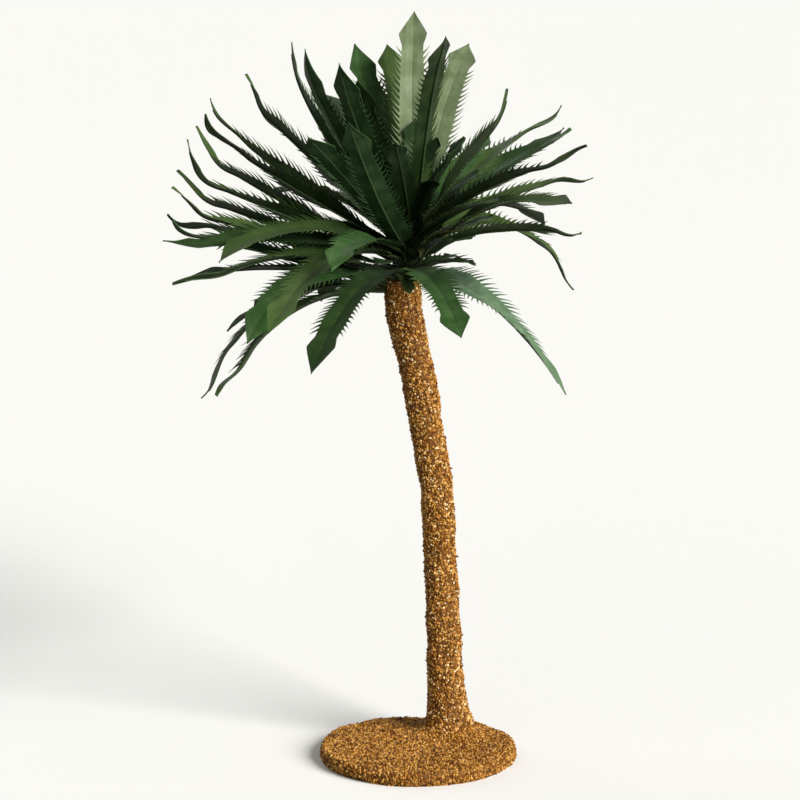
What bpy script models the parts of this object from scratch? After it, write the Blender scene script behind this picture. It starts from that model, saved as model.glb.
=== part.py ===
"""Model date palm tree: granule-covered trunk on a round stand, wired and pressed fronds.

Metres, +Z up, origin at the centre of the stand's underside, -Y towards the viewer.
"""
import math

import bmesh
import bpy
from mathutils import Matrix, Vector
from mathutils.bvhtree import BVHTree

MM = 0.001
GAP = 0.3 * MM                      # left between pieces that touch

# stand: a low round slab, mounded up to the trunk's foot
STAND_RADIUS = 29.5 * MM
STAND_EDGE = 4.5 * MM
STAND_SEGMENTS = 40
SEAT_HEIGHT = 6.4 * MM              # flat seat under the trunk
SEAT_RADIUS = 6.6 * MM
RIM_WOBBLE = 0.35 * MM

# trunk: centre line as (x, y, z) in millimetres, foot to top, and radii along it
TRUNK_FOOT = (SEAT_HEIGHT + GAP) / MM
TRUNK_LINE = [(9.6, 11.0, TRUNK_FOOT), (8.9, 11.6, 18), (8.0, 11.6, 36), (7.2, 11.0, 54),
              (6.4, 10.4, 70), (5.0, 9.6, 86), (2.7, 9.0, 100), (0.3, 8.3, 114), (-2.3, 7.3, 126.5),
              (-4.2, 6.6, 136.4), (-4.7, 6.4, 142.2)]
TRUNK_RADIUS = 5.1 * MM
FOOT_FLARE = 1.1 * MM
TOP_FLARE = 0.8 * MM
TRUNK_SEGMENTS = 16
TRUNK_RINGS = 34
TRUNK_LUMP = 0.22 * MM

# heart: the bound sheaf of stems that the fronds come out of
HEART_CENTRE = (-2.8 * MM, 6.4 * MM, 151.5 * MM)
HEART_RADIUS = 6.6 * MM
HEART_HALF = 14.6 * MM
HEART_LEAN = 0.16                   # shift in x per unit of height
HEART_STEMS = 11
HEART_FLUTE = 0.07
HEART_SEGMENTS = 44
HEART_RINGS = 12
HEART_FLOOR = TRUNK_LINE[-1][2] * MM + GAP

# frond: a bare stalk, a saw-edged blade drawn as its outline, and a lance tip
BLADE_HALF = 6.0 * MM
BLADE_THICK = 0.7 * MM
STALK_HALF = 0.9 * MM
STALK_THICK = 1.1 * MM
STALK_END = 0.11                    # share of the length that is bare stalk
FULL_WIDTH_LENGTH = 58              # a frond shorter than this (millimetres) is narrower too
FOLD = math.radians(14)             # each half of a blade rises this much off the rib
SPINE_STEPS = 60
LOWEST_ROOT = -40.0                 # degrees down the heart; roots stay above the trunk's top
CLEARANCE = 0.35 * MM               # kept between one frond and the next
# place along the rib, and half width there as a share of the blade's: edge, neck, tip's shoulder
STATIONS = [(0.17, 0.6), (0.25, 0.92), (0.36, 1.0), (0.5, 1.0), (0.63, 0.93),
            (0.75, 0.7), (0.81, 0.62), (0.87, 0.72), (0.94, 0.34)]

# each frond: azimuth and pitch of its chord, droop from root to tip, roll about the rib,
# length in millimetres, and where wanted a curl of the tip, a sideways sweep, a twist of the
# outer half and a shift of the root up the heart (degrees).
# Azimuth is 0 at +X and 90 at +Y, at the back.
FRONDS_TOP = [
    (90, 60, 12, 0, 62, 0, -10),
    (282, 56, 36, 35, 64),
    (72, 42, 32, 20, 66),
    (76, 42, 40, -25, 62, 0, 6),
    (111, 44, 12, -10, 66, -25, 18),
    (246, 50, -16, -5, 68, -10),
    (100, 46, 24, 0, 62, 0, 6),
    (233, 50, -6, -15, 72, -30),
    (128, 44, 0, 70, 70, -50, -40, -5),
    (298, 40, 4, 70, 70, -55, 14, -20),
]
FRONDS_FRONT = [
    (252, 40, -28, 10, 66, 0, -10),
    (246, 54, -8, 0, 54, 0, 8),
    (243, 32, 6, 10, 66),
    (263, 40, 0, 35, 46, 0, -5),
    (241, -10, 56, 0, 74, 0, 8),
    (251, -14, 44, 0, 76),
    (250, 0, 36, -10, 56, 30, 6),
    (282, -8, 34, 5, 66),
    (298, 20, 24, 10, 48),
    (273, -14, 60, 0, 25),
]
FRONDS_LEFT = [
    (142, 36, 2, 60, 70, -50, -14, -10),
    (160, 34, -6, 50, 68, -32, -30, -20),
    (202, 34, -6, 30, 68, -35, 18, -30),
    (151, 24, 2, 45, 74, -60, -22, -20),
    (198, 28, -6, 35, 72, -90, 0, -35),
    (156, 16, 4, 40, 72, -50, -20, -20),
    (205, 18, 4, -30, 72, -50, 4, 25),
    (164, 6, 26, -20, 68, -40, 0, 15),
    (203, 12, 8, -25, 68, -40, 4, 25),
    (211, 6, 30, 20, 76, -35, 0, -5),
    (213, -4, 56, -20, 76, -35, -20, 45),
    (217, -20, 78, 50, 72, -25, 40, -15),
    (226, -22, 64, 0, 72, -45, 30, 25),
    (132, -20, 45, 40, 68, 0, 0, -40),
    (222, 2, 44, -25, 66, 20, 6, 20),
    (226, -12, 70, -10, 62, 0, 30),
]
FRONDS_RIGHT = [
    (45, 26, 22, 10, 68, -35, -28, -30),
    (46, 20, 30, 25, 68, -35, -20, -20),
    (320, 26, 26, -20, 64, -30, 34),
    (20, 16, 26, 15, 54, 0, -24, -25),
    (306, 16, 46, 30, 72, -15, -12, -20),
    (330, 8, 34, -25, 50, -20, 6, 0, 24),
    (41, -20, 90, 20, 72, 0, -18, 5),
    (305, -20, 60, 20, 80, 0, 18, -55),
    (54, -4, 66, 0, 62),
]
FRONDS_BACK = [
    (60, 24, 15, 10, 44),
    (112, 26, 26, -10, 72),
    (86, 22, 26, 10, 72),
    (66, 2, 40, -10, 72),
    (100, 0, 45, 0, 74),
    (122, 4, 40, 10, 74),
    (78, -6, 60, 0, 64),
    (112, -20, 60, 10, 70),
    (4, 34, 20, 10, 48, -20, 0, -15),
    (184, 2, 30, 0, 56),
    (180, -14, 56, 0, 48),
    (300, 10, 50, 0, 27),
]
FROND_ROWS = FRONDS_TOP + FRONDS_FRONT + FRONDS_LEFT + FRONDS_RIGHT + FRONDS_BACK

# colours (linear RGB)
BROWN_STAND = (0.34, 0.155, 0.04)
BROWN_TRUNK = (0.30, 0.13, 0.036)
GREEN_HEART = (0.10, 0.155, 0.055)
FROND_GREENS = {"frond_deep": (0.075, 0.125, 0.045), "frond_mid": (0.10, 0.16, 0.06),
                "frond_light": (0.135, 0.20, 0.085), "frond_dark": (0.055, 0.095, 0.036)}
ROUGH_GRAIN = 0.6
ROUGH_WAXED = 0.45


def clear_scene():
    for thing in list(bpy.data.objects):
        bpy.data.objects.remove(thing, do_unlink=True)


def material(name, colour, roughness):
    mat = bpy.data.materials.new(name)
    mat.use_nodes = True
    shader = mat.node_tree.nodes["Principled BSDF"]
    shader.inputs["Base Color"].default_value = (*colour, 1.0)
    shader.inputs["Roughness"].default_value = roughness
    shader.inputs["Metallic"].default_value = 0.0
    mat.diffuse_color = (*colour, 1.0)
    return mat


def add_object(name, points, faces, mat):
    mesh = bpy.data.meshes.new(name)
    mesh.from_pydata([tuple(p) for p in points], [], faces)
    work = bmesh.new()
    work.from_mesh(mesh)
    bmesh.ops.recalc_face_normals(work, faces=work.faces)
    bmesh.ops.triangulate(work, faces=work.faces)
    work.to_mesh(mesh)
    work.free()
    mesh.materials.append(mat)
    thing = bpy.data.objects.new(name, mesh)
    bpy.context.scene.collection.objects.link(thing)
    return thing


def tube(rings):
    """Faces that close a stack of equal rings of points: caps at both ends."""
    count = len(rings[0])
    points = [p for ring in rings for p in ring]
    faces = [tuple(range(count))[::-1]]
    for level in range(len(rings) - 1):
        low = level * count
        for i in range(count):
            j = (i + 1) % count
            faces.append((low + i, low + j, low + count + j, low + count + i))
    top = (len(rings) - 1) * count
    faces.append(tuple(top + i for i in range(count)))
    return points, faces


def smooth_line(points, share):
    """Catmull-Rom point at a share (0..1) of a list of points."""
    place = share * (len(points) - 1)
    k = min(int(place), len(points) - 2)
    t = place - k
    a = points[max(k - 1, 0)]
    b = points[k]
    c = points[k + 1]
    d = points[min(k + 2, len(points) - 1)]
    return b + 0.5 * t * (c - a + t * (2 * a - 5 * b + 4 * c - d + t * (3 * (b - c) + d - a)))


def build_stand():
    foot = Vector((TRUNK_LINE[0][0] * MM, TRUNK_LINE[0][1] * MM, 0.0))

    def ring(share, height):
        centre = foot * (1 - share)
        points = []
        for i in range(STAND_SEGMENTS):
            turn = 2 * math.pi * i / STAND_SEGMENTS
            wobble = RIM_WOBBLE * (math.sin(3 * turn + 0.8) + 0.6 * math.sin(7 * turn + 2.0))
            radius = SEAT_RADIUS + (STAND_RADIUS + wobble - SEAT_RADIUS) * share
            points.append(centre + Vector((radius * math.cos(turn), radius * math.sin(turn), height)))
        return points

    rings = [ring(0.97, 0.0), ring(1.0, 1.0 * MM), ring(1.0, 3.2 * MM), ring(0.975, STAND_EDGE)]
    rings += [ring(share, STAND_EDGE + rise * MM)
              for share, rise in ((0.8, 0.35), (0.6, 0.6), (0.4, 0.8), (0.2, 1.15), (0.08, 1.6))]
    rings.append(ring(0.0, SEAT_HEIGHT))
    points, faces = tube(rings)
    add_object("stand", points, faces, material("stand_grain", BROWN_STAND, ROUGH_GRAIN))


def build_trunk():
    line = [Vector(p) * MM for p in TRUNK_LINE]
    rings = []
    for k in range(TRUNK_RINGS):
        share = k / (TRUNK_RINGS - 1)
        centre = smooth_line(line, share)
        ahead = smooth_line(line, min(share + 0.02, 1.0)) - smooth_line(line, max(share - 0.02, 0.0))
        lean = Vector((0, 0, 1)).rotation_difference(ahead.normalized())
        if k in (0, TRUNK_RINGS - 1):       # cut level at foot and top
            lean.identity()
        flare = FOOT_FLARE * math.exp(-share * 16) + TOP_FLARE * math.exp((share - 1) * 3.5)
        ring = []
        for i in range(TRUNK_SEGMENTS):
            turn = 2 * math.pi * i / TRUNK_SEGMENTS
            lump = TRUNK_LUMP * math.sin(k * 1.7 + 2 * turn) * math.sin(3 * turn + k * 0.9)
            radius = TRUNK_RADIUS + flare + lump
            ring.append(centre + lean @ Vector((radius * math.cos(turn), radius * math.sin(turn), 0)))
        rings.append(ring)
    points, faces = tube(rings)
    return add_object("trunk", points, faces, material("trunk_grain", BROWN_TRUNK, ROUGH_GRAIN))


def heart_point(azimuth, latitude, grow=0.0):
    """A point of the heart's envelope, pushed out by grow."""
    across = (HEART_RADIUS + grow) * math.cos(latitude) ** (0.7 if latitude > 0 else 0.4)
    height = (HEART_HALF + grow) * math.copysign(abs(math.sin(latitude)) ** 0.9, latitude)
    centre = Vector(HEART_CENTRE) + Vector((HEART_LEAN * height, 0, 0))
    return centre + Vector((across * math.cos(azimuth), across * math.sin(azimuth), height))


def build_heart():
    rings = []
    for k in range(HEART_RINGS):
        latitude = math.radians(-84 + 168 * k / (HEART_RINGS - 1))
        ring = []
        for i in range(HEART_SEGMENTS):
            turn = 2 * math.pi * i / HEART_SEGMENTS
            flute = HEART_FLUTE * 0.5 * (1 - math.cos(HEART_STEMS * turn + 0.25 * k))
            point = heart_point(turn, latitude, -flute * HEART_RADIUS)
            point.z = max(point.z, HEART_FLOOR)
            ring.append(point)
        rings.append(ring)
    points, faces = tube(rings)
    return add_object("heart", points, faces, material("heart_green", GREEN_HEART, ROUGH_WAXED))


def frond_spine(azimuth, pitch, droop, roll, length, curl=0, sweep=0, twist=0, slide=0):
    """Points along the rib with the direction of the blade's side at each."""
    rise = pitch + droop / 2 + curl * 0.05
    start = math.radians(azimuth - sweep / 2)
    latitude = max(-62.0, min(66.0, rise * 1.25 - 22))
    wished = heart_point(start, math.radians(latitude), GAP + STALK_HALF)
    spot = heart_point(start, math.radians(max(LOWEST_ROOT, min(74.0, latitude + slide))), GAP + STALK_HALF)
    rise += math.degrees((wished - spot).z / (length * MM))
    step = length * MM / SPINE_STEPS
    spine = []
    for k in range(SPINE_STEPS + 1):
        share = k / SPINE_STEPS
        tip = max(0.0, (share - 0.7) / 0.3)
        up = math.radians(rise - droop * share - curl * tip * tip)
        turn = math.radians(azimuth + sweep * (share - 0.5))
        along = Vector((math.cos(up) * math.cos(turn), math.cos(up) * math.sin(turn), math.sin(up)))
        side = Vector((-math.sin(turn), math.cos(turn), 0))
        turned = roll * min(1.0, share * 3) + twist * max(0.0, min(1.0, (share - 0.35) / 0.4))
        side = Matrix.Rotation(math.radians(turned), 3, along) @ side
        spine.append((spot.copy(), along, side))
        spot += along * step
    return spine


def frond_solid(row, pad=0.0):
    """A thin folded blade: four points a station, one at the tip."""
    spine = frond_spine(*row)
    blade = BLADE_HALF * min(1.0, row[4] / FULL_WIDTH_LENGTH)
    sections = [(0.0, STALK_HALF, STALK_THICK, 0.0), (STALK_END, STALK_HALF, STALK_THICK, 0.0)]
    sections += [(share, blade * width, BLADE_THICK, FOLD) for share, width in STATIONS]
    points = []
    for share, half, thick, fold in sections:
        spot, along, side = spine[round(share * SPINE_STEPS)]
        above = along.cross(side)
        lift = above * (half + pad) * math.sin(fold)
        points += [spot + side * (half + pad) + lift, spot + above * (thick / 2 + pad),
                   spot - side * (half + pad) + lift, spot - above * (thick / 2 + pad)]
    spot, along, _ = spine[-1]
    points.append(spot + along * pad)
    faces = [(0, 1, 2), (0, 2, 3)]
    last = 4 * (len(sections) - 1)
    for low in range(0, last, 4):
        for i in range(4):
            a, b, c, d = low + i, low + (i + 1) % 4, low + 4 + (i + 1) % 4, low + 4 + i
            faces += [(a, b, c), (a, c, d)] if i % 2 == 0 else [(a, b, d), (b, c, d)]
    faces += [(last + i, last + (i + 1) % 4, last + 4) for i in range(4)]
    return points, faces


def surface_tree(points, faces):
    return BVHTree.FromPolygons([tuple(p) for p in points], faces)


def object_tree(thing):
    mesh = thing.data
    return surface_tree([v.co for v in mesh.vertices], [tuple(p.vertices) for p in mesh.polygons])


def nudges():
    """Small changes to try on a frond, the smallest first: azimuth, pitch, roll, root's height."""
    steps = [(turn, lift, twist, slide)
             for turn in range(-18, 19, 3) for lift in range(-12, 13, 3)
             for twist in range(-50, 51, 10) for slide in range(-24, 25, 8)]
    steps.sort(key=lambda s: (abs(s[0]) * 1.3 + abs(s[1]) * 1.3 + abs(s[2]) * 0.14 + abs(s[3]) * 0.12, s))
    return steps


def place_frond(row, trees, steps):
    """The row as near its wish as leaves the blade clear of those already placed."""
    wish = tuple(row) + (0,) * (9 - len(row))
    for turn, lift, swing, slide in steps:
        trial = (wish[0] + turn, wish[1] + lift, wish[2], wish[3] + swing, *wish[4:8], wish[8] + slide)
        padded = surface_tree(*frond_solid(trial, CLEARANCE))
        if not any(padded.overlap(other) for other in trees):
            return trial
    raise ValueError("no room for frond %s" % (row,))


def build_fronds(trunk, heart):
    trees = [object_tree(trunk), object_tree(heart)]
    steps = nudges()
    greens = [material(name, colour, ROUGH_WAXED) for name, colour in FROND_GREENS.items()]
    for k, row in enumerate(FROND_ROWS):
        row = place_frond(row, trees, steps)
        points, faces = frond_solid(row)
        trees.append(surface_tree(points, faces))
        name = "frond_%02d" % (k + 1)
        add_object(name, points, faces, greens[k % len(greens)])


clear_scene()
build_stand()
build_fronds(build_trunk(), build_heart())
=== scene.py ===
import math
import random

import bmesh
import bpy
import numpy as np
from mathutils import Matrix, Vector, noise


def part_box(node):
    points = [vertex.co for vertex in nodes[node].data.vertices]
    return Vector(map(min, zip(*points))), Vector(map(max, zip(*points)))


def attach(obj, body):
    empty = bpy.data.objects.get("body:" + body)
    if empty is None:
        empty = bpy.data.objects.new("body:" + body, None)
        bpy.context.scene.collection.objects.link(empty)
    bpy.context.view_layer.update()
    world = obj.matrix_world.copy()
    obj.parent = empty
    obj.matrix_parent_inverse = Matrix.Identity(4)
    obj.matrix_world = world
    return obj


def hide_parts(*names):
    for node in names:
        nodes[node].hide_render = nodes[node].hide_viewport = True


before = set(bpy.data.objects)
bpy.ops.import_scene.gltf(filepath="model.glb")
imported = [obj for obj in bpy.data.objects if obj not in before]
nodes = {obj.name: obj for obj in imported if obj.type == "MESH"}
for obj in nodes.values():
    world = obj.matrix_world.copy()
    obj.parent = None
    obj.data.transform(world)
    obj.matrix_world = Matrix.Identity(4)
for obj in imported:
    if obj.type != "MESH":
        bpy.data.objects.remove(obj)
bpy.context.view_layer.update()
mm = 0.001
print("frame loaded,", len(nodes), "parts")


# small helpers for node trees and meshes

goldenTurn = 2.39996          # spreads what is set round an axis evenly
fullTurn = 6.283


def addNode(tree, kind, inputs=None, **settings):
    node = tree.nodes.new(kind)
    for name, value in settings.items():
        setattr(node, name, value)
    for name, value in (inputs or {}).items():
        node.inputs[name].default_value = value
    return node


def addSockets(tree, way, sockets):
    for name, kind, start in sockets:
        socket = tree.interface.new_socket(name, in_out=way, socket_type="NodeSocket" + kind)
        if start is not None:
            socket.default_value = start


def mathNode(tree, operation, first, second=None):
    node = addNode(tree, "ShaderNodeMath", operation=operation)
    for place, value in enumerate((first, second)):
        if value is None:
            continue
        if isinstance(value, (int, float)):
            node.inputs[place].default_value = value
        else:
            tree.links.new(value, node.inputs[place])
    return node.outputs[0]


def mixColour(tree, factor, first, second, blend="MIX"):
    node = addNode(tree, "ShaderNodeMix", data_type="RGBA", blend_type=blend)
    for socket, value in ((node.inputs[0], factor), (node.inputs[6], first), (node.inputs[7], second)):
        if isinstance(value, (int, float, tuple)):
            socket.default_value = value
        else:
            tree.links.new(value, socket)
    return node.outputs[2]


def noiseOn(tree, vector, scale, detail=2.0, stretch=None):
    if stretch:
        turned = addNode(tree, "ShaderNodeMapping", {"Scale": stretch})
        tree.links.new(vector, turned.inputs["Vector"])
        vector = turned.outputs["Vector"]
    node = addNode(tree, "ShaderNodeTexNoise", {"Scale": scale, "Detail": detail})
    tree.links.new(vector, node.inputs["Vector"])
    return node.outputs[0]


def rampBetween(tree, value, low, high):
    node = addNode(tree, "ShaderNodeMapRange", {"From Min": low, "From Max": high})
    tree.links.new(value, node.inputs["Value"])
    return node.outputs["Result"]


def putInScene(name, data):
    thing = bpy.data.objects.new(name, data)
    bpy.context.scene.collection.objects.link(thing)
    return thing


def newHeap():
    return {"points": [], "faces": [], "finish": [], "uv": [], "count": 0}


def addToHeap(heap, points, faces, finish, uv):
    base = heap["count"]
    heap["points"].append(np.asarray(points, float))
    heap["uv"].append(np.asarray(uv, float))
    heap["faces"].extend([tuple(base + i for i in face) for face in faces])
    heap["finish"].extend(finish)
    heap["count"] += len(points)


def heapToObject(name, heap, materials, sharpAngle):
    mesh = bpy.data.meshes.new(name)
    mesh.from_pydata(np.concatenate(heap["points"]).tolist(), [], heap["faces"])
    for material in materials:
        mesh.materials.append(material)
    mesh.polygons.foreach_set("material_index", np.array(heap["finish"], np.int32))
    uv = np.concatenate(heap["uv"])
    layer = mesh.uv_layers.new(name="sheetUV")
    corners = np.zeros(len(mesh.loops), np.int32)
    mesh.loops.foreach_get("vertex_index", corners)
    layer.data.foreach_set("uv", uv[corners].astype(np.float32).ravel())
    mesh.polygons.foreach_set("use_smooth", np.ones(len(mesh.polygons), bool))
    mesh.set_sharp_from_angle(angle=math.radians(sharpAngle))
    mesh.update()
    return putInScene(name, mesh)


def bakedFrom(source, name, tree, settings):
    # the tree's result on the source, as a plain mesh
    sockets = {item.name: item.identifier for item in tree.interface.items_tree if item.in_out == "INPUT"}
    modifier = source.modifiers.new(name, "NODES")
    modifier.node_group = tree
    for socketName, value in settings.items():
        modifier[sockets[socketName]] = value
    graph = bpy.context.evaluated_depsgraph_get()
    mesh = bpy.data.meshes.new_from_object(source.evaluated_get(graph), depsgraph=graph)
    source.modifiers.remove(modifier)
    mesh.name = name
    return putInScene(name, mesh)


def settle(thing, replaced):
    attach(thing, "root")
    if replaced:
        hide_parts(*replaced)
    triangles = sum(len(p.vertices) - 2 for p in thing.data.polygons)
    print("made", thing.name, triangles, "triangles")


# finishes

def surfaceGroup(name, inputs):
    tree = bpy.data.node_groups.new(name, "ShaderNodeTree")
    addSockets(tree, "INPUT", inputs)
    results = (("Colour", "Color", None), ("Rough", "Float", None), ("Height", "Float", None))
    addSockets(tree, "OUTPUT", results)
    return tree, addNode(tree, "NodeGroupInput").outputs, addNode(tree, "NodeGroupOutput").inputs


def centred(tree, value):
    return mathNode(tree, "SUBTRACT", value, 0.5)        # noise lies about a half


def addScaled(tree, start, value, share):
    return mathNode(tree, "ADD", start, mathNode(tree, "MULTIPLY", value, share))


def shadedBy(tree, colour, value):
    shade = addNode(tree, "ShaderNodeCombineColor")
    for socket in shade.inputs[:3]:
        tree.links.new(value, socket)
    return mixColour(tree, 1.0, colour, shade.outputs[0], "MULTIPLY")


def makeWaxedGroup():
    tree, given, result = surfaceGroup("waxedSheetSurface", (
        ("Colour", "Color", (0.1, 0.2, 0.1, 1)), ("Pale", "Color", (0.2, 0.3, 0.2, 1)),
        ("Paleness", "Float", 0.4), ("Fibre", "Float", 0.3), ("Rough", "Float", 0.45)))
    sheet = addNode(tree, "ShaderNodeUVMap", uv_map="sheetUV").outputs[0]
    place = addNode(tree, "ShaderNodeTexCoord").outputs["Object"]
    fibres = noiseOn(tree, sheet, 100.0, 3.0, (6.0, 0.5, 1.0))       # fine lines along the rib
    veins = noiseOn(tree, sheet, 60.0, 1.0, (1.6, 0.12, 1.0))
    clouds = noiseOn(tree, place, 190.0, 3.0)
    specks = noiseOn(tree, place, 2400.0, 2.0)
    cloudy = mathNode(tree, "MULTIPLY", rampBetween(tree, clouds, 0.42, 0.68), given["Paleness"])
    lines = mathNode(tree, "MULTIPLY", centred(tree, fibres), given["Fibre"])
    lined = addScaled(tree, addScaled(tree, 1.0, lines, 2.4), centred(tree, veins), 0.5)
    mixed = mixColour(tree, cloudy, given["Colour"], given["Pale"])
    tree.links.new(shadedBy(tree, mixed, lined), result["Colour"])
    tree.links.new(addScaled(tree, given["Rough"], centred(tree, specks), 0.3), result["Rough"])
    height = addScaled(tree, mathNode(tree, "MULTIPLY", fibres, 0.5), clouds, 1.4)
    tree.links.new(addScaled(tree, height, specks, 0.25), result["Height"])
    return tree


def makeChipGroup():
    tree, given, result = surfaceGroup("chipSurface", (
        ("Colour", "Color", (0.4, 0.2, 0.1, 1)), ("Dirt", "Color", (0.1, 0.05, 0.02, 1)),
        ("Dirtiness", "Float", 0.5), ("Rough", "Float", 0.4)))
    place = addNode(tree, "ShaderNodeTexCoord").outputs["Object"]
    blotches = noiseOn(tree, place, 900.0, 3.0)
    fine = noiseOn(tree, place, 4200.0, 2.0)
    wide = noiseOn(tree, place, 70.0, 2.0)
    dirty = mathNode(tree, "MULTIPLY", rampBetween(tree, blotches, 0.5, 0.72), given["Dirtiness"])
    dirty = addScaled(tree, dirty, rampBetween(tree, wide, 0.5, 0.75), 0.25)
    tree.links.new(mixColour(tree, dirty, given["Colour"], given["Dirt"]), result["Colour"])
    tree.links.new(addScaled(tree, given["Rough"], fine, 0.25), result["Rough"])
    tree.links.new(addScaled(tree, blotches, fine, 0.4), result["Height"])
    return tree


def makeWrapGroup():
    tree, given, result = surfaceGroup("wrappedTapeSurface", (
        ("Colour", "Color", (0.1, 0.2, 0.1, 1)), ("Edge", "Color", (0.2, 0.3, 0.2, 1)),
        ("Turn Length", "Float", 0.018), ("Rough", "Float", 0.5)))
    sheet = addNode(tree, "ShaderNodeUVMap", uv_map="sheetUV").outputs[0]
    place = addNode(tree, "ShaderNodeTexCoord").outputs["Object"]
    split = addNode(tree, "ShaderNodeSeparateXYZ")
    tree.links.new(sheet, split.inputs[0])
    turns = mathNode(tree, "DIVIDE", split.outputs[1], given["Turn Length"])
    lap = mathNode(tree, "FRACT", mathNode(tree, "ADD", turns, split.outputs[0]))
    edge = mathNode(tree, "MULTIPLY", rampBetween(tree, lap, 0.72, 0.98), 0.7)
    crepe = noiseOn(tree, place, 1500.0, 3.0)
    tinted = mixColour(tree, edge, given["Colour"], given["Edge"])
    tree.links.new(shadedBy(tree, tinted, addScaled(tree, 0.6, crepe, 0.8)), result["Colour"])
    tree.links.new(addScaled(tree, given["Rough"], crepe, 0.2), result["Rough"])
    tree.links.new(addScaled(tree, lap, crepe, 0.5), result["Height"])
    return tree


def makeFinish(name, group, values, depth, sheen=0.0, specular=0.2):
    material = bpy.data.materials.new(name)
    material.use_nodes = True
    tree = material.node_tree
    shader = tree.nodes["Principled BSDF"]
    shader.inputs["Sheen Weight"].default_value = sheen
    shader.inputs["Sheen Roughness"].default_value = 0.4
    shader.inputs["Specular IOR Level"].default_value = specular
    surface = addNode(tree, "ShaderNodeGroup", node_tree=group)
    for socketName, value in values.items():
        surface.inputs[socketName].default_value = (*value, 1.0) if isinstance(value, tuple) else value
    relief = addNode(tree, "ShaderNodeBump", {"Strength": 0.6, "Distance": depth})
    tree.links.new(surface.outputs["Colour"], shader.inputs["Base Color"])
    tree.links.new(surface.outputs["Rough"], shader.inputs["Roughness"])
    tree.links.new(surface.outputs["Height"], relief.inputs["Height"])
    tree.links.new(relief.outputs["Normal"], shader.inputs["Normal"])
    material.diffuse_color = (*values["Colour"], 1.0)
    return material


waxedGroup, chipGroup, wrapGroup = makeWaxedGroup(), makeChipGroup(), makeWrapGroup()

# upper face, then underside, for each tone of sheet; each underside is darker than its upper face
sheetTones = {
    # frost, sage and mint are pale tones with painted sheen: the gloss that the key light throws off the top
    # and right fronds
    "frost": {"upper": (0.125, 0.162, 0.080), "under": (0.030, 0.055, 0.018), "pale": (0.25, 0.30, 0.18)},
    "sage": {"upper": (0.100, 0.134, 0.064), "under": (0.026, 0.047, 0.015), "pale": (0.21, 0.26, 0.15)},
    "mint": {"upper": (0.108, 0.185, 0.100), "under": (0.026, 0.056, 0.020), "pale": (0.28, 0.38, 0.25)},
    "leaf": {"upper": (0.050, 0.090, 0.024), "under": (0.016, 0.038, 0.008), "pale": (0.105, 0.155, 0.048)},
    "fern": {"upper": (0.028, 0.076, 0.018), "under": (0.010, 0.034, 0.008), "pale": (0.085, 0.150, 0.055)},
    "moss": {"upper": (0.031, 0.062, 0.015), "under": (0.010, 0.025, 0.005), "pale": (0.075, 0.110, 0.031)},
    "pine": {"upper": (0.015, 0.037, 0.009), "under": (0.006, 0.016, 0.004), "pale": (0.040, 0.072, 0.021)},
    "olive": {"upper": (0.080, 0.092, 0.020), "under": (0.052, 0.062, 0.013), "pale": (0.14, 0.15, 0.045)},
}
sheetLook = {"paleness": {"upper": 0.45, "under": 0.3}, "fibre": 0.2, "rough": 0.46, "relief": 0.06 * mm,
             "sheen": 0.02, "specular": 0.17}
sheetFinishes = []
for tone, sheetColours in sheetTones.items():
    for face, paleness in sheetLook["paleness"].items():
        values = {"Colour": sheetColours[face], "Pale": sheetColours["pale"], "Paleness": paleness,
                  "Fibre": sheetLook["fibre"], "Rough": sheetLook["rough"]}
        sheetFinishes.append(makeFinish("sheet_%s_%s" % (tone, face), waxedGroup, values,
                                        sheetLook["relief"], sheetLook["sheen"], sheetLook["specular"]))


def makeWrapFinish(name, colour, edge, rough, depth, specular):
    values = {"Colour": colour, "Edge": edge, "Rough": rough}
    return makeFinish(name, wrapGroup, values, depth, specular=specular)


# the stem wrap's dark green is partly its own tape colour, partly painted shade inside the crown
wrapFinish = makeWrapFinish("stem_wrap", (0.034, 0.052, 0.016), (0.085, 0.105, 0.040), 0.5, 0.08 * mm, 0.25)
ribFinish = makeWrapFinish("rib_wire", (0.030, 0.058, 0.018), (0.07, 0.105, 0.038), 0.45, 0.04 * mm, 0.3)
# the heart core is near-black as painted shade in the crown's middle
heartFinish = makeWrapFinish("heart_core_dark", (0.008, 0.015, 0.004), (0.016, 0.026, 0.008),
                             0.6, 0.1 * mm, 0.15)

# crushed grains, each tone with the share of grains below it
grainTones = (
    ("umber", 0.00, (0.125, 0.042, 0.004)),
    ("brown", 0.12, (0.275, 0.104, 0.011)),
    ("ochre", 0.32, (0.480, 0.215, 0.033)),
    ("gold", 0.64, (0.640, 0.345, 0.090)),
    ("sand", 0.89, (0.800, 0.530, 0.230)),
    # glint: near-white grains that stand for sparkle, painted glints
    ("glint", 0.98, (0.950, 0.790, 0.490)),
)


def makeChipFinish(name, colour, dirt, dirtiness, rough, depth):
    values = {"Colour": colour, "Dirt": dirt, "Dirtiness": dirtiness, "Rough": rough}
    return makeFinish(name, chipGroup, values, depth)


grainFinishes = [makeChipFinish("grain_" + name, colour, (0.10, 0.040, 0.010), 0.5, 0.3, 0.12 * mm)
                 for name, share, colour in grainTones]
glueFinish = makeChipFinish("grain_glue", (0.150, 0.060, 0.009), (0.05, 0.018, 0.003), 0.6, 0.5, 0.2 * mm)
print("finishes ready")


# fronds: each one's rib line is read from its own part, then the cut sheet is built on it

heartLow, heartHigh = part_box("heart")
heartMiddle = (heartLow + heartHigh) / 2
trunkLow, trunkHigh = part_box("trunk")
weldDistance = 0.02 * mm
plainShape = {"curl": 0.0, "tipShare": 1.0, "toothShare": 1.0}       # a leaf that has not dried


def weldedCopy(name):
    work = bmesh.new()
    work.from_mesh(nodes[name].data)
    bmesh.ops.remove_doubles(work, verts=work.verts, dist=weldDistance)
    return work


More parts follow.
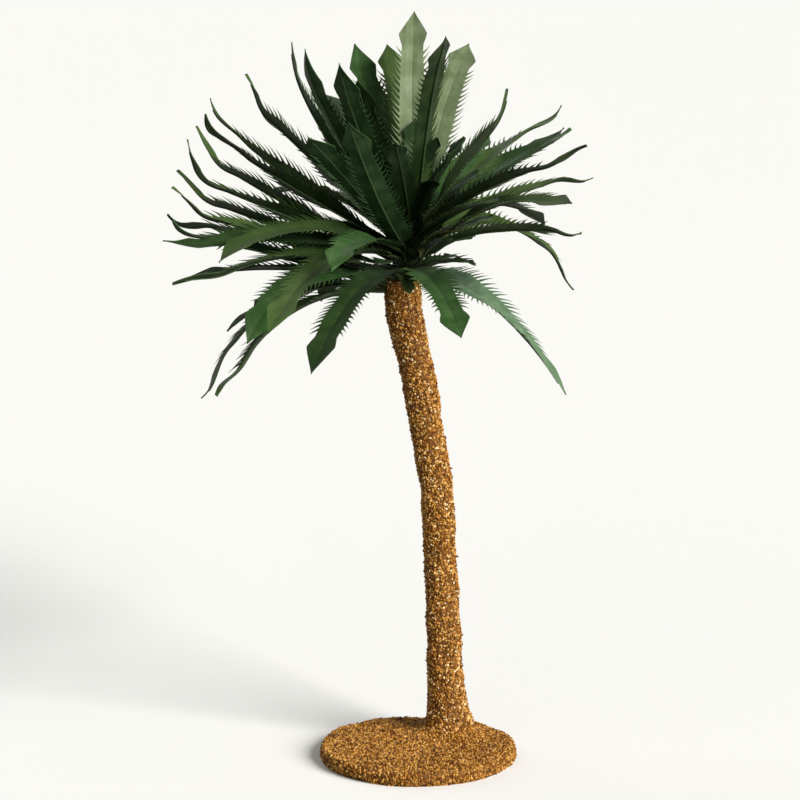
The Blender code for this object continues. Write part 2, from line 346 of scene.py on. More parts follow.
def readFrond(name):
    work = weldedCopy(name)
    tip = max(work.verts, key=lambda v: (v.co - heartMiddle).length)
    rings, seen = [[tip]], {tip}
    while True:                                  # step back from the tip, four points at a time
        ring = {e.other_vert(v) for v in rings[-1] for e in v.link_edges} - seen
        if not ring:
            break
        rings.append(sorted(ring, key=lambda v: v.index))
        seen |= ring
    rings = [[v.co.copy() for v in ring] for ring in rings]
    work.free()
    centres, aboves, reach = [rings[0][0]], [None], 0.0
    lastAbove = None
    for ring in rings[1:]:
        pairs = [(0, 1, 2, 3), (0, 2, 1, 3), (0, 3, 1, 2)]
        a, b, c, d = max(pairs, key=lambda p: max((ring[p[0]] - ring[p[1]]).length,
                                                  (ring[p[2]] - ring[p[3]]).length))
        if (ring[c] - ring[d]).length > (ring[a] - ring[b]).length:
            a, b, c, d = c, d, a, b
        ribPlace = (ring[c] + ring[d]) / 2
        above = (ring[c] - ring[d]).normalized()
        toward = (ring[a] + ring[b]) / 2 - ribPlace
        if toward.length > 0.1 * mm:             # a folded section: its edges stand above the rib
            above = above if above.dot(toward) > 0 else -above
        elif lastAbove is not None:
            above = above if above.dot(lastAbove) > 0 else -above
        lastAbove = above
        reach = max(reach, (ring[a] - ring[b]).length / 2)
        centres.append(ribPlace)
        aboves.append(above)
    aboves[0] = aboves[1]
    centres = np.array([tuple(c) for c in reversed(centres)])
    aboves = np.array([tuple(a) for a in reversed(aboves)])
    steps = np.linalg.norm(np.diff(centres, axis=0), axis=1)
    shares = np.concatenate([[0.0], np.cumsum(steps)])
    length = shares[-1]
    shares /= length
    slopes = np.empty_like(centres)
    slopes[1:-1] = (centres[2:] - centres[:-2]) / (shares[2:] - shares[:-2])[:, None]
    # both ends ease out of the slope beside them
    slopes[0] = 1.5 * (centres[1] - centres[0]) / (shares[1] - shares[0]) - 0.5 * slopes[1]
    slopes[-1] = 1.5 * (centres[-1] - centres[-2]) / (shares[-1] - shares[-2]) - 0.5 * slopes[-2]
    return {"name": name, "centres": centres, "aboves": aboves, "shares": shares, "slopes": slopes,
            "length": length, "reach": reach / math.cos(math.radians(blade["fold"])), **plainShape}


def unit(vectors):
    return vectors / np.linalg.norm(vectors, axis=1)[:, None]


# where a dried tip starts to swing out and back, and which way it swings
curl = {"start": 0.7, "run": 0.3, "sideways": 0.6, "upward": 0.8}


def alongRib(frond, places):
    # spot, heading, side and upper direction at each share of the length
    s, c, m = frond["shares"], frond["centres"], frond["slopes"]
    places = np.asarray(places, float)
    k = np.clip(np.searchsorted(s, places, side="right") - 1, 0, len(s) - 2)
    span = (s[k + 1] - s[k])[:, None]
    t = ((places - s[k]) / (s[k + 1] - s[k]))[:, None]
    inside = np.clip(t, 0, 1)
    t2, t3 = inside ** 2, inside ** 3
    spot = ((2 * t3 - 3 * t2 + 1) * c[k] + (t3 - 2 * t2 + inside) * span * m[k]
            + (3 * t2 - 2 * t3) * c[k + 1] + (t3 - t2) * span * m[k + 1])
    slope = ((6 * t2 - 6 * inside) * (c[k] - c[k + 1]) / span + (3 * t2 - 4 * inside + 1) * m[k]
             + (3 * t2 - 2 * inside) * m[k + 1])
    spot = spot + (t - inside) * span * slope            # straight on beyond either end
    along = unit(slope)
    above = (1 - inside) * frond["aboves"][k] + inside * frond["aboves"][k + 1]
    above = unit(above - along * np.sum(above * along, axis=1)[:, None])
    side = np.cross(above, along)
    late = np.clip((places - curl["start"]) / curl["run"], 0, 1)
    swing = frond["curl"] * np.sqrt(late) * np.sin(late * math.tau)
    spot = spot + (side * curl["sideways"] + above * curl["upward"]) * swing[:, None]
    return spot, along, side, above


blade = {
    "thickness": 0.24 * mm,
    "root": 0.05,             # shares of the length
    "toothStart": 0.12,
    "toothEnd": 0.79,
    "tipNarrows": (0.74, 0.84),
    "foldOpens": 0.6,
    "opening": 0.45,          # share of the fold that is gone at the tip
    "fold": 14.0,
    "notch": 0.16 * mm,       # how much deeper the cut runs between two teeth
    "wave": 0.34 * mm,
    "wavePhase": 6.28,
    "waveCounts": (1.2, 2.6),
    "ripple": 0.12 * mm,
    "rippleTurns": 31,        # radians along the blade
    "belly": 0.22 * mm,
    "nominalReach": 6.0 * mm,
}
tooth = {
    "pitch": 1.95 * mm,
    "base": 0.5,              # share of the pitch
    "long": 4.7 * mm,         # near the root
    "short": 3.3 * mm,        # near the lance tip
    "angle": 40.0,            # between rib and tooth
    "stray": 6,
    "lift": (-0.22, 0.16),
    "lengths": (0.86, 1.1),
    "bend": 0.72,             # the outer half leans back towards the rib
    "thinness": (0.42, 0.42, 0.12),   # shares of the sheet's thickness at its three points
}
# half width in millimetres by share of the length: slim at the root or broad, then alike
bladeFoot = {"slim": ((0.05, 0.5), (0.085, 1.3), (0.12, 2.2), (0.16, 2.9), (0.21, 3.4), (0.28, 3.65)),
             "broad": ((0.05, 1.6), (0.075, 2.7), (0.11, 3.3), (0.16, 3.7), (0.22, 3.85), (0.28, 3.9))}
bladeOutline = ((0.36, 3.8), (0.5, 3.75), (0.6, 3.6), (0.7, 3.45), (0.785, 3.2), (0.81, 3.15), (0.84, 3.75),
                (0.87, 4.2), (0.9, 3.3), (0.95, 1.6), (0.985, 0.42), (1.0, 0.07))
acrossSteps = (-1.0, -0.68, -0.34, 0.0, 0.34, 0.68, 1.0)
across = len(acrossSteps)
markScale = mm * 100          # length on the sheet for one unit of its surface pattern


def at(column, step):
    return column * across + step


def bladeColumns(count):
    # the shares of the length where the blade has a row of points, and where each tooth starts
    pitch = (blade["toothEnd"] - blade["toothStart"]) / count
    places, roots = list(np.linspace(blade["root"], blade["toothStart"], 6)[:-1]), []
    for k in range(count):
        start = blade["toothStart"] + k * pitch
        roots.append(len(places))
        places += [start, start + 0.5 * tooth["base"] * pitch, start + tooth["base"] * pitch,
                   start + (0.5 + 0.5 * tooth["base"]) * pitch]
    places += list(np.linspace(blade["toothEnd"], 1.0, 19))
    return np.array(places), roots


def bladeSurface(frond, size, places, roots, foot, dice):
    # the sheet's middle surface: its points, normals and pattern marks, and the rib's directions
    spot, along, side, above = alongRib(frond, places)
    outline = np.array(bladeFoot[foot] + bladeOutline)
    half = np.interp(places, outline[:, 0], outline[:, 1]) * mm * size
    half *= np.interp(places, blade["tipNarrows"], (1.0, frond["tipShare"]))
    for root in roots:
        half[root + 3] -= blade["notch"]
    opened = np.clip((places - blade["foldOpens"]) / (1 - blade["foldOpens"]), 0, 1)
    fold = math.radians(blade["fold"]) * (1.0 - blade["opening"] * opened)
    waveTurn, waveCount = dice.uniform(0, blade["wavePhase"]), dice.uniform(*blade["waveCounts"])
    skew = dice.uniform(-0.5, 0.5)
    points, normals, marks = [], [], []
    for u in acrossSteps:
        x = u * half
        phase = waveTurn + waveCount * blade["wavePhase"] * places + (1.7 + skew) * np.sign(u)
        wave = blade["wave"] * (u * u) * np.sin(phase)
        wave += blade["ripple"] * abs(u) * np.sin(places * blade["rippleTurns"] + waveTurn * 3 + u * 4)
        cup = blade["belly"] * abs(u) * (1 - abs(u))     # each half bellies up a little
        lift = np.abs(x) * np.sin(fold) + wave + cup
        points.append(spot + side * (x * np.cos(fold))[:, None] + above * lift[:, None])
        tilt = np.sin(fold) * np.sign(u)
        normals.append(unit(above - side * tilt[:, None]))
        marks.append(np.stack([x / markScale, places * frond["length"] / markScale], axis=1))
    surface = [np.stack(part, axis=1).reshape(len(places) * across, -1) for part in (points, normals, marks)]
    return surface, (along, side, above, fold)


def toothPoints(first, last, along, outward, angle, length):
    # a tooth stands on the edge from first to last: two shoulders and a point
    heading = along * math.cos(angle) + outward * math.sin(angle)
    leaning = along * math.cos(angle * tooth["bend"]) + outward * math.sin(angle * tooth["bend"])
    return [first * 0.72 + last * 0.28 + heading * length * 0.45,
            first * 0.26 + last * 0.74 + heading * length * 0.42,
            (first + last) / 2 + heading * length * 0.55 + leaning * length * 0.45]


def bladeRim(rows, toothed):
    # the edges of the middle surface in order, round each tooth where there is one
    walls = []
    for j, sign in ((0, -1), (across - 1, 1)):
        i = 0
        while i < rows - 1:
            path = toothed.get((i, j))
            i += 2 if path else 1
            path = path or [at(i - 1, j), at(i, j)]
            walls += list(zip(path[:-1], path[1:])) if sign > 0 else list(zip(path[1:], path[:-1]))
    walls += [(at(rows - 1, j + 1), at(rows - 1, j)) for j in range(across - 1)]
    walls += [(at(0, j), at(0, j + 1)) for j in range(across - 1)]
    return walls


def cutBlade(frond, heap, tone, seed, foot):
    dice = random.Random(seed)
    size = frond["reach"] / blade["nominalReach"]
    toothedLength = (blade["toothEnd"] - blade["toothStart"]) * frond["length"]
    count = round(toothedLength / (tooth["pitch"] * (0.5 + 0.5 * size)))
    places, roots = bladeColumns(count)
    (mid, norm, flat), (along, side, above, fold) = bladeSurface(frond, size, places, roots, foot, dice)
    rows = len(places)
    faces = [(at(i, j), at(i + 1, j), at(i + 1, j + 1), at(i, j + 1))
             for i in range(rows - 1) for j in range(across - 1)]
    extra, extraNorm, extraMarks, extraThick = [], [], [], []
    toothed = {}
    for k, root in enumerate(roots):
        share = k / max(1, count - 1)
        long = (tooth["long"] + (tooth["short"] - tooth["long"]) * share) * (0.4 + 0.6 * size)
        long *= min(1.0, 0.62 + 0.4 * k)                 # the first teeth grow out of the stalk
        long *= frond["toothShare"]
        for j, sign in ((0, -1.0), (across - 1, 1.0)):
            stray = dice.uniform(-tooth["stray"], tooth["stray"])
            angle = math.radians(tooth["angle"] + stray + 6 * (1 - share))
            outward = (side[root] * sign * math.cos(fold[root]) + above[root] * math.sin(fold[root])
                       + above[root] * dice.uniform(*tooth["lift"]))
            length = long * dice.uniform(*tooth["lengths"])
            a, m, b = (at(root + n, j) for n in range(3))
            t1, t2, t3 = (len(mid) + len(extra) + n for n in range(3))
            extra += toothPoints(mid[a], mid[b], along[root + 1], unit(outward[None])[0], angle, length)
            extraNorm += [norm[m]] * 3
            extraThick += [blade["thickness"] * share for share in tooth["thinness"]]
            x, y = flat[m]
            reach = sign * length
            extraMarks += [(x + reach * 4, y), (x + reach * 4, y + 0.004), (x + reach * 7, y + 0.01)]
            patch = [(a, m, t1), (m, t2, t1), (m, b, t2), (t1, t2, t3)]
            faces += patch if sign > 0 else [face[::-1] for face in patch]
            toothed[(root, j)] = [a, t1, t3, t2, b]
    thick = np.concatenate([np.full(len(mid), blade["thickness"] / 2), extraThick])[:, None]
    mid, norm, flat = (np.concatenate(pair) for pair in ((mid, extra), (norm, extraNorm), (flat, extraMarks)))
    walls = bladeRim(rows, toothed)
    total = len(mid)
    closed = faces + [tuple(total + i for i in face[::-1]) for face in faces]
    closed += [(p, q, total + q, total + p) for p, q in walls]
    upper = 2 * tone                                     # the underside's finish follows the upper one
    finish = [upper] * len(faces) + [upper + 1] * len(faces) + [upper] * len(walls)
    both = np.concatenate([mid + norm * thick, mid - norm * thick])
    addToHeap(heap, both, closed, finish, np.concatenate([flat, flat]))


def wireTree():
    # a round wire swept along every line, its thickness read from the line's points
    tree = bpy.data.node_groups.new("wireAlongLine", "GeometryNodeTree")
    addSockets(tree, "INPUT", (("Geometry", "Geometry", None), ("Sides", "Int", 6),
                               ("Finish", "Material", None)))
    addSockets(tree, "OUTPUT", (("Geometry", "Geometry", None),))
    link = tree.links.new
    given = addNode(tree, "NodeGroupInput").outputs
    line = addNode(tree, "GeometryNodeMeshToCurve")
    link(given["Geometry"], line.inputs["Mesh"])
    ring = addNode(tree, "GeometryNodeCurvePrimitiveCircle", {"Radius": 1.0})
    link(given["Sides"], ring.inputs["Resolution"])
    # how far along the line, and which share of the way round, place the tape's laps
    flows, marks = [], []
    for curve, measure in ((line.outputs["Curve"], "Length"), (ring.outputs["Curve"], "Factor")):
        mark = addNode(tree, "GeometryNodeCaptureAttribute")
        mark.capture_items.new("FLOAT", measure)
        link(curve, mark.inputs["Geometry"])
        link(addNode(tree, "GeometryNodeSplineParameter").outputs[measure], mark.inputs[measure])
        flows.append(mark.outputs["Geometry"])
        marks.append(mark.outputs[measure])
    radius = addNode(tree, "GeometryNodeInputNamedAttribute", {"Name": "wireRadius"}, data_type="FLOAT")
    sweep = addNode(tree, "GeometryNodeCurveToMesh", {"Fill Caps": True})
    link(flows[0], sweep.inputs["Curve"])
    link(flows[1], sweep.inputs["Profile Curve"])
    link(radius.outputs["Attribute"], sweep.inputs["Scale"])
    flat = addNode(tree, "ShaderNodeCombineXYZ")
    link(marks[1], flat.inputs["X"])
    link(mathNode(tree, "MULTIPLY", marks[0], 10.0), flat.inputs["Y"])
    store = addNode(tree, "GeometryNodeStoreNamedAttribute", {"Name": "sheetUV"},
                    data_type="FLOAT2", domain="CORNER")
    link(sweep.outputs["Mesh"], store.inputs["Geometry"])
    link(flat.outputs[0], store.inputs["Value"])
    real = addNode(tree, "GeometryNodeRealizeInstances")
    link(store.outputs["Geometry"], real.inputs["Geometry"])
    paint = addNode(tree, "GeometryNodeSetMaterial")
    link(real.outputs["Geometry"], paint.inputs["Geometry"])
    link(given["Finish"], paint.inputs["Material"])
    link(paint.outputs["Geometry"], addNode(tree, "NodeGroupOutput").inputs["Geometry"])
    return tree


wireNodes = wireTree()


def sweptWires(name, lines, sides, finish):
    edges, start = [], 0
    for spots, radii in lines:
        edges += [(start + k, start + k + 1) for k in range(len(spots) - 1)]
        start += len(spots)
    mesh = bpy.data.meshes.new(name + "Lines")
    mesh.from_pydata(np.concatenate([spots for spots, radii in lines]).tolist(), edges, [])
    thickness = np.concatenate([radii for spots, radii in lines]).astype(np.float32)
    mesh.attributes.new("wireRadius", "FLOAT", "POINT").data.foreach_set("value", thickness)
    holder = putInScene(name + "Lines", mesh)
    swept = bakedFrom(holder, name, wireNodes, {"Sides": sides, "Finish": finish})
    bpy.data.objects.remove(holder)
    swept.data.polygons.foreach_set("use_smooth", np.ones(len(swept.data.polygons), bool))
    return swept


frondNames = sorted(n for n in nodes if n.startswith("frond_"))
fronds = [readFrond(name) for name in frondNames]

# the side fronds have dried narrow and curly at the tip, with long teeth
dried = {"fronds": (*range(21, 34), 37, 39, 40, 42, 43), "swings": (0.9, 1.5), "seed": 29,
         "shape": {"tipShare": 0.68, "toothShare": 1.25}}
curlDice = random.Random(dried["seed"])
for number in dried["fronds"]:
    swing = curlDice.choice((-1, 1)) * curlDice.uniform(*dried["swings"]) * mm
    fronds[number - 1].update(dried["shape"], curl=swing)

# tones by frond number: the pale ones stand at the top and the right, where the key light falls, as painted
# light; the rest are dealt out
toneNames = list(sheetTones)
toneOf = {1: "frost", 2: "moss", 3: "sage", 4: "leaf", 10: "leaf", 11: "fern", 12: "pine", 13: "fern",
          14: "pine", 15: "leaf", 16: "pine", 17: "fern", 18: "fern", 20: "leaf", 37: "leaf",
          40: "leaf", 43: "leaf", 44: "mint", 57: "olive"}
# these show their foot at the front
broadFooted = (11, 12, 13, 14, 15, 16, 17, 18, 20, 31, 35, 44, 57)
leftOnes = range(21, 37)                             # the left side, away from the key light, is dealt darker tones than the right as painted shade
deal = random.Random(11)
for number in range(1, len(fronds) + 1):
    chances = (3, 2, 4, 2) if number in leftOnes else (4, 3, 3, 1)
    drawn = deal.choices(("leaf", "fern", "moss", "pine"), chances)[0]
    toneOf.setdefault(number, drawn)

firstSeed = 500
sharpFold = 23                # degrees between faces that still shade smoothly
slotTitles = {"frond_deep": "bladesDeep", "frond_mid": "bladesMid",
              "frond_light": "bladesLight", "frond_dark": "bladesDark"}
for slotName, pieceName in slotTitles.items():
    heap, standsFor = newHeap(), []
    for number, frond in enumerate(fronds, 1):
        if nodes[frond["name"]].data.materials[0].name.split(".")[0] != slotName:
            continue
        cutBlade(frond, heap, toneNames.index(toneOf[number]), firstSeed + number,
                 "broad" if number in broadFooted else "slim")
        standsFor.append(frond["name"])
    settle(heapToObject(pieceName, heap, sheetFinishes, sharpFold), standsFor)

# rib wires on the undersides, each running on from its wrapped stalk

wire = {"start": 0.06, "end": 0.95, "stalkEnd": 0.13, "radius": 0.36 * mm, "halfwayRadius": 0.3 * mm,
        "tipRadius": 0.16 * mm, "sunk": 0.45, "sides": 6}
wirePlaces = np.concatenate([np.linspace(wire["start"], 0.2, 8)[:-1], np.linspace(0.2, wire["end"], 44)])
wireRadii = np.interp(wirePlaces, (wire["start"], 0.5, wire["end"]),
                      (wire["radius"], wire["halfwayRadius"], wire["tipRadius"]))
lines = []
for frond in fronds:
    spot, along, side, above = alongRib(frond, wirePlaces)
    radii = wireRadii * (0.5 + 0.5 * frond["reach"] / blade["nominalReach"])
    sunk = blade["thickness"] / 2 + radii * wire["sunk"]
    lines.append((spot - above * sunk[:, None], radii))
settle(sweptWires("ribWires", lines, wire["sides"], ribFinish), [])


# heart: one wrapped stem from the trunk's top into each frond, over a slim dark core

stem = {"radius": 0.5 * mm, "wrapStep": 0.85 * mm, "wrapRise": 0.05 * mm, "bundleRadius": 4.1 * mm,
        "bundleShift": -2.0 * mm, "startDepth": 1.2 * mm, "leastRise": 1.5 * mm, "lean": (0.12, 0.0, 1.0),
        "climb": 0.62, "longestPull": 5.0 * mm, "pointSpacing": 1.3 * mm, "fade": (0.95, 0.85, 0.7, 0.5),
        "sides": 8}


def stemLine(frond, order):
    turn = order * goldenTurn
    spread = stem["bundleRadius"] * math.sqrt((order + 0.5) / len(fronds))
    start = np.array([heartMiddle.x + stem["bundleShift"] + spread * math.cos(turn),
                      heartMiddle.y + spread * math.sin(turn), trunkHigh.z - stem["startDepth"]])
    stalk, along, side, above = alongRib(frond, np.linspace(0.0, wire["stalkEnd"], 10))
    root = stalk[0]
    rise = max(stem["leastRise"], root[2] - start[2])
    lift = start + np.array(stem["lean"]) * rise * stem["climb"]
    pull = root - along[0] * min(stem["longestPull"], 0.45 * rise + 2 * mm)
    t = np.linspace(0, 1, max(8, int(rise / stem["pointSpacing"]) + 6))[:-1, None]
    curve = (1 - t) ** 3 * start + 3 * t * (1 - t) ** 2 * lift + 3 * t * t * (1 - t) * pull + t ** 3 * root
    spots = np.concatenate([curve, stalk])
    run = np.concatenate([[0], np.cumsum(np.linalg.norm(np.diff(spots, axis=0), axis=1))])
    fine = np.arange(0, run[-1], stem["wrapStep"] / 2)               # two rings for each lap of tape
    spots = np.stack([np.interp(fine, run, spots[:, n]) for n in range(3)], axis=1)
    radii = stem["radius"] + stem["wrapRise"] * np.where(np.arange(len(fine)) % 2, 1.0, -1.0)
    radii[-len(stem["fade"]):] *= stem["fade"]
    return spots, radii


byHeight = sorted(fronds, key=lambda f: -f["centres"][0][2])
lines = [stemLine(frond, order) for order, frond in enumerate(byHeight)]
settle(sweptWires("heartStems", lines, stem["sides"], wrapFinish), ["heart"])

# short inner leaves that close the crown's middle, bound in with the stems; they are cut from the darkest
# tone as painted shade there
inner = {"count": 34, "pitches": (0.0, 74.0), "stray": 6, "lengths": (13 * mm, 31 * mm), "root": 3.2 * mm,
         "lowest": 0.08, "climb": 0.72, "lift": 12, "droops": (20, 34), "steps": 8, "reach": 4.6 * mm,
         "firstDice": 900, "firstSeed": 800}


def innerLeaf(order):
    share = order / (inner["count"] - 1)
    dice = random.Random(inner["firstDice"] + order)
    turn = order * goldenTurn + dice.uniform(-0.2, 0.2)
    low, high = inner["pitches"]
    pitch = math.radians(low + (high - low) * share + dice.uniform(-inner["stray"], inner["stray"]))
    shortest, longest = inner["lengths"]
    length = shortest + (longest - shortest) * (0.3 * dice.random() + 0.7 * min(1.0, share * 2))
    height = heartLow.z + (heartHigh.z - heartLow.z) * (inner["lowest"] + inner["climb"] * share)
    spot = np.array([heartMiddle.x + inner["root"] * math.cos(turn),
                     heartMiddle.y + inner["root"] * math.sin(turn), height])
    shares = np.linspace(0, 1, inner["steps"] + 1)
    centres, aboves = [], []
    for step in shares:
        up = pitch + math.radians(inner["lift"]) - math.radians(dice.uniform(*inner["droops"])) * step
        heading = np.array([math.cos(up) * math.cos(turn), math.cos(up) * math.sin(turn), math.sin(up)])
        centres.append(spot.copy())
        aboves.append(np.cross(heading, (-math.sin(turn), math.cos(turn), 0.0)))
        spot = spot + heading * length / inner["steps"]
    centres, aboves = np.array(centres), np.array(aboves)
    slopes = np.gradient(centres, shares, axis=0)
    return {"centres": centres, "aboves": aboves, "shares": shares, "slopes": slopes,
            "length": length, "reach": inner["reach"], **plainShape}


heap = newHeap()
for order in range(inner["count"]):
    cutBlade(innerLeaf(order), heap, toneNames.index("pine"), inner["firstSeed"] + order, "broad")
settle(heapToObject("innerLeaves", heap, sheetFinishes, sharpFold), [])

coreShare = (0.5, 0.5, 0.9)
work = weldedCopy("heart")
for v in work.verts:                                 # a core well inside the sheaf
    offset = v.co - heartMiddle
    v.co = heartMiddle + offset * Vector(coreShare)
coreMesh = bpy.data.meshes.new("heartCore")
uvLayer = work.loops.layers.uv.new("sheetUV")
for face in work.faces:
    for loop in face.loops:
        away = loop.vert.co - heartMiddle
        loop[uvLayer].uv = (math.atan2(away.y, away.x) / fullTurn, loop.vert.co.z / markScale)
work.to_mesh(coreMesh)
work.free()
coreMesh.materials.append(heartFinish)
settle(putInScene("heartCore", coreMesh), [])


# trunk and stand: a lumpy glued core, then a coat of crushed grains

def grainCoatTree():
    tree = bpy.data.node_groups.new("grainCoat", "GeometryNodeTree")
    addSockets(tree, "INPUT", (
        ("Geometry", "Geometry", None), ("Gap", "Float", 0.7 * mm), ("Density", "Float", 6e6),
        ("Least Size", "Float", 0.4 * mm), ("Most Size", "Float", 0.65 * mm), ("Flatness", "Float", 0.7),
        ("Stretch", "Float", 1.0), ("Roughen", "Float", 0.3 * mm), ("Lowest Facing", "Float", -2.0),
        ("Floor", "Float", 0.0), ("Palest Tone", "Float", 1.0), ("Seed", "Int", 1)))
    addSockets(tree, "OUTPUT", (("Geometry", "Geometry", None),))
    link = tree.links.new
    given = addNode(tree, "NodeGroupInput").outputs
    scatter = addNode(tree, "GeometryNodeDistributePointsOnFaces", distribute_method="POISSON")
    link(given["Geometry"], scatter.inputs["Mesh"])
    link(given["Gap"], scatter.inputs["Distance Min"])
    link(given["Density"], scatter.inputs["Density Max"])
    link(given["Seed"], scatter.inputs["Seed"])
    facing = addNode(tree, "ShaderNodeSeparateXYZ")
    link(addNode(tree, "GeometryNodeInputNormal").outputs[0], facing.inputs[0])
    outward = addNode(tree, "FunctionNodeCompare", data_type="FLOAT", operation="GREATER_THAN")
    link(facing.outputs["Z"], outward.inputs["A"])
    link(given["Lowest Facing"], outward.inputs["B"])
    link(outward.outputs["Result"], scatter.inputs["Selection"])
    chip = addNode(tree, "GeometryNodeMeshIcoSphere", {"Radius": 1.0, "Subdivisions": 1})
    turn = addNode(tree, "FunctionNodeRandomValue", data_type="FLOAT_VECTOR")
    turn.inputs["Max"].default_value = (fullTurn, fullTurn, fullTurn)
    link(given["Seed"], turn.inputs["Seed"])
    sizeRoll = addNode(tree, "FunctionNodeRandomValue", data_type="FLOAT")
    link(given["Least Size"], sizeRoll.inputs[2])
    link(given["Most Size"], sizeRoll.inputs[3])
    link(mathNode(tree, "ADD", given["Seed"], 5), sizeRoll.inputs["Seed"])
    across = mathNode(tree, "MULTIPLY", sizeRoll.outputs[1], given["Stretch"])
    down = mathNode(tree, "MULTIPLY", sizeRoll.outputs[1], given["Flatness"])
    scale = addNode(tree, "ShaderNodeCombineXYZ")
    link(across, scale.inputs["X"])
    link(sizeRoll.outputs[1], scale.inputs["Y"])
    link(down, scale.inputs["Z"])
    place = addNode(tree, "GeometryNodeInstanceOnPoints")
    link(scatter.outputs["Points"], place.inputs["Points"])
    link(chip.outputs["Mesh"], place.inputs["Instance"])
    link(turn.outputs[0], place.inputs["Rotation"])
    link(scale.outputs[0], place.inputs["Scale"])
    toneRoll = addNode(tree, "FunctionNodeRandomValue", data_type="FLOAT")
    link(mathNode(tree, "ADD", given["Seed"], 9), toneRoll.inputs["Seed"])
    link(given["Palest Tone"], toneRoll.inputs[3])
    store = addNode(tree, "GeometryNodeStoreNamedAttribute", data_type="FLOAT", domain="INSTANCE")
    store.inputs["Name"].default_value = "grainTone"
    link(place.outputs["Instances"], store.inputs["Geometry"])
    link(toneRoll.outputs[1], store.inputs["Value"])
    real = addNode(tree, "GeometryNodeRealizeInstances")
    link(store.outputs["Geometry"], real.inputs["Geometry"])
    # knock the corners about, then keep everything above the floor
    where = addNode(tree, "GeometryNodeInputPosition").outputs[0]
    knock = addNode(tree, "ShaderNodeTexNoise", {"Scale": 1400.0, "Detail": 1.0})
    link(where, knock.inputs["Vector"])
    centred = addNode(tree, "ShaderNodeVectorMath", operation="SUBTRACT")
    link(knock.outputs["Color"], centred.inputs[0])
    centred.inputs[1].default_value = (0.5, 0.5, 0.5)
    sized = addNode(tree, "ShaderNodeVectorMath", operation="SCALE")
    link(centred.outputs[0], sized.inputs[0])
    link(given["Roughen"], sized.inputs["Scale"])
    moved = addNode(tree, "ShaderNodeVectorMath", operation="ADD")
    link(where, moved.inputs[0])
    link(sized.outputs[0], moved.inputs[1])
    lowest = addNode(tree, "ShaderNodeCombineXYZ", {"X": -10.0, "Y": -10.0})
    link(given["Floor"], lowest.inputs["Z"])
    kept = addNode(tree, "ShaderNodeVectorMath", operation="MAXIMUM")
    link(moved.outputs[0], kept.inputs[0])
    link(lowest.outputs[0], kept.inputs[1])
    shift = addNode(tree, "GeometryNodeSetPosition")
    link(real.outputs["Geometry"], shift.inputs["Geometry"])
    link(kept.outputs[0], shift.inputs["Position"])
    faceted = addNode(tree, "GeometryNodeSetShadeSmooth")
    link(shift.outputs["Geometry"], faceted.inputs["Geometry"])
    faceted.inputs["Shade Smooth"].default_value = False
    flow = faceted.outputs["Geometry"]
    tone = addNode(tree, "GeometryNodeInputNamedAttribute", data_type="FLOAT")
    tone.inputs["Name"].default_value = "grainTone"
    for (name, share, colour), material in zip(grainTones, grainFinishes):
        chosen = addNode(tree, "FunctionNodeCompare", {"B": share}, data_type="FLOAT",
                         operation="GREATER_EQUAL")
        link(tone.outputs["Attribute"], chosen.inputs["A"])
        paint = addNode(tree, "GeometryNodeSetMaterial", {"Material": material})
        link(chosen.outputs["Result"], paint.inputs["Selection"])
        link(flow, paint.inputs["Geometry"])
        flow = paint.outputs["Geometry"]
    link(flow, addNode(tree, "NodeGroupOutput").inputs["Geometry"])
    return tree


coatTree = grainCoatTree()


def gluedCore(name, source, cuts, shape):
    work = weldedCopy(source)
    bmesh.ops.subdivide_edges(work, edges=work.edges, cuts=cuts, use_grid_fill=True)
    work.normal_update()
    moves = [shape(v.co, v.normal) for v in work.verts]
    for v, place in zip(work.verts, moves):
        v.co = place
    bmesh.ops.recalc_face_normals(work, faces=work.faces)
    mesh = bpy.data.meshes.new(name)
    work.to_mesh(mesh)
    work.free()
    mesh.materials.append(glueFinish)
    for polygon in mesh.polygons:
        polygon.use_smooth = True
    return putInScene(name, mesh)


trunk = {"inset": 0.5 * mm, "lump": 0.36 * mm, "lumpScale": 240.0, "sway": 0.5 * mm, "swayScale": 95.0,
         "footFlare": 1.6 * mm, "footHeight": 13.8 * mm, "endFacing": 0.7, "endDepth": 0.1 * mm,
         "overStems": Vector((-0.2, -0.1, 2.2)) * mm,
         "coat": {"Gap": 0.53 * mm, "Least Size": 0.31 * mm, "Most Size": 0.55 * mm, "Flatness": 0.6,
                  "Roughen": 0.56 * mm, "Floor": 4.0 * mm, "Seed": 4},
         "splinters": {"Gap": 2.1 * mm, "Least Size": 0.3 * mm, "Most Size": 0.46 * mm, "Flatness": 0.6,
                       "Stretch": 2.7, "Roughen": 0.4 * mm, "Floor": 4.0 * mm, "Seed": 8}}
footPoints = [v.co for v in nodes["trunk"].data.vertices if v.co.z < trunkLow.z + trunk["endDepth"]]
trunkFoot = sum(footPoints, Vector()) / len(footPoints)


def trunkShape(place, normal):
    lump = noise.noise(place * trunk["lumpScale"]) * trunk["lump"]
    lump += noise.noise(place * trunk["swayScale"]) * trunk["sway"]
    flare = trunk["footFlare"] * math.exp((trunkFoot.z - place.z) / trunk["footHeight"])
    if abs(normal.z) > trunk["endFacing"]:
        flare = 0.0
    moved = place + normal * (lump - trunk["inset"] + flare)
    if place.z > trunkHigh.z - trunk["endDepth"]:    # the coat runs on a little way up the stems
        moved += trunk["overStems"]
    return moved


trunkCore = gluedCore("trunkCore", "trunk", 1, trunkShape)
trunkGrains = bakedFrom(trunkCore, "trunkGrains", coatTree, trunk["coat"])
trunkSplinters = bakedFrom(trunkCore, "trunkSplinters", coatTree, trunk["splinters"])
for polygon in trunkSplinters.data.polygons:         # splinters are of the two dark tones only
    polygon.material_index = min(polygon.material_index, 1)
settle(trunkCore, ["trunk"])
settle(trunkGrains, [])
settle(trunkSplinters, [])

